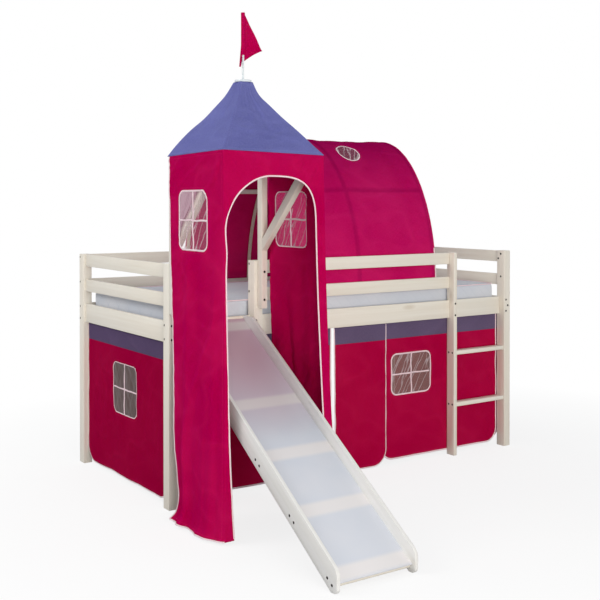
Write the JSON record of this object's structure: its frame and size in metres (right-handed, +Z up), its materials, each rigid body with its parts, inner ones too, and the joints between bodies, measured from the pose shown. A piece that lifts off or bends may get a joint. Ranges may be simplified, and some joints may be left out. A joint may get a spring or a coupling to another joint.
{
  "type": "loft bed with slide",
  "caption": "Mid-height child's bed in painted wood, with a slide coming out through a cloth tower, a cloth tunnel over the mattress, a short ladder and hinged curtains round the den below.",
  "frame": {"origin": "on the floor, under the middle of the whole object's box", "axes": "+Z up, +X along the bed from its slide end to its ladder end, +Y from the slide's foot to the back of the bed"},
  "size_m": [2.1618, 2.17, 2.1413],
  "materials": {
    "painted_pine": "white-washed lacquer over pine, satin",
    "bent_wood": "bare laminated strip, matt",
    "slide_board": "pale lacquered board, smooth satin",
    "mattress_cover": "pale woven cover",
    "pink_cloth": "plain woven cotton, strong pink, with pale piping",
    "lilac_cloth": "plain woven cotton, lilac"
  },
  "bodies": {
    "bed_frame": {"front_left_post": "painted_pine", "front_right_post": "painted_pine", "rear_left_post": "painted_pine", "rear_right_post": "painted_pine", "front_side_rail": "painted_pine", "rear_side_rail": "painted_pine", "left_end_rail": "painted_pine", "left_end_mid_guard": "painted_pine", "left_end_top_guard": "painted_pine", "right_end_rail": "painted_pine", "right_end_mid_guard": "painted_pine", "right_end_top_guard": "painted_pine", "front_mid_guard": "painted_pine", "rear_mid_guard": "painted_pine", "front_top_guard": "painted_pine", "rear_top_guard": "painted_pine", "guard_post": "painted_pine", "ladder_post": "painted_pine", "upper_rung": "painted_pine", "lower_rung": "painted_pine", "front_cleat": "painted_pine", "rear_cleat": "painted_pine", "slat_base": "painted_pine", "slide_left_cheek": "painted_pine", "slide_right_cheek": "painted_pine", "slide_batten_1": "painted_pine", "slide_batten_2": "painted_pine", "slide_batten_3": "painted_pine", "slide_batten_4": "painted_pine", "slide_batten_5": "painted_pine", "tower_left_upright": "painted_pine", "tower_left_arm": "painted_pine", "tower_left_brace": "painted_pine", "tower_right_upright": "painted_pine", "tower_right_arm": "painted_pine", "tower_right_brace": "painted_pine", "tower_front_bar": "painted_pine", "tower_rear_bar": "painted_pine", "tower_cross_bar": "painted_pine", "tower_mast": "painted_pine", "roof_disc": "painted_pine", "flag_pole": "painted_pine", "left_hoop": "bent_wood", "middle_hoop": "bent_wood", "right_hoop": "bent_wood", "front_tunnel_batten": "bent_wood", "rear_tunnel_batten": "bent_wood", "slide_sheet": "slide_board", "mattress": "mattress_cover", "roof_cloth": "lilac_cloth", "tower_left_wall": "pink_cloth", "tower_right_wall": "pink_cloth", "tower_front_wall": "pink_cloth", "tunnel_cloth": "pink_cloth"},
    "flag": {"flag": "pink_cloth"},
    "front_left_curtain": {"front_left_curtain": "pink_cloth"},
    "front_right_curtain": {"front_right_curtain": "pink_cloth"},
    "front_door_curtain": {"front_door_curtain": "pink_cloth"},
    "left_end_curtain": {"left_end_curtain": "pink_cloth"},
    "right_end_curtain": {"right_end_curtain": "pink_cloth"}
  },
  "joints": [
    {"name": "flag_turn", "type": "hinge", "parent": "bed_frame", "child": "flag", "pos_m": [-0.76708, -0.161, 2.03], "axis": [0, 0, 1], "continuous": true},
    {"name": "front_left_curtain_swing", "type": "hinge", "parent": "bed_frame", "child": "front_left_curtain", "pos_m": [-0.52058, 0.1318, 0.736], "axis": [1, 0, 0], "range_deg": [0, 60]},
    {"name": "front_right_curtain_swing", "type": "hinge", "parent": "bed_frame", "child": "front_right_curtain", "pos_m": [0.62542, 0.1318, 0.736], "axis": [1, 0, 0], "range_deg": [0, 60]},
    {"name": "front_door_curtain_swing", "type": "hinge", "parent": "bed_frame", "child": "front_door_curtain", "pos_m": [0.08742, 0.121, 0.7222], "axis": [-1, 0, 0], "range_deg": [0, 70]},
    {"name": "left_end_curtain_swing", "type": "hinge", "parent": "bed_frame", "child": "left_end_curtain", "pos_m": [-0.97158, 0.58, 0.7222], "axis": [0, 1, 0], "range_deg": [0, 70]},
    {"name": "right_end_curtain_swing", "type": "hinge", "parent": "bed_frame", "child": "right_end_curtain", "pos_m": [1.04842, 0.58, 0.7222], "axis": [0, -1, 0], "range_deg": [0, 70]}
  ]
}
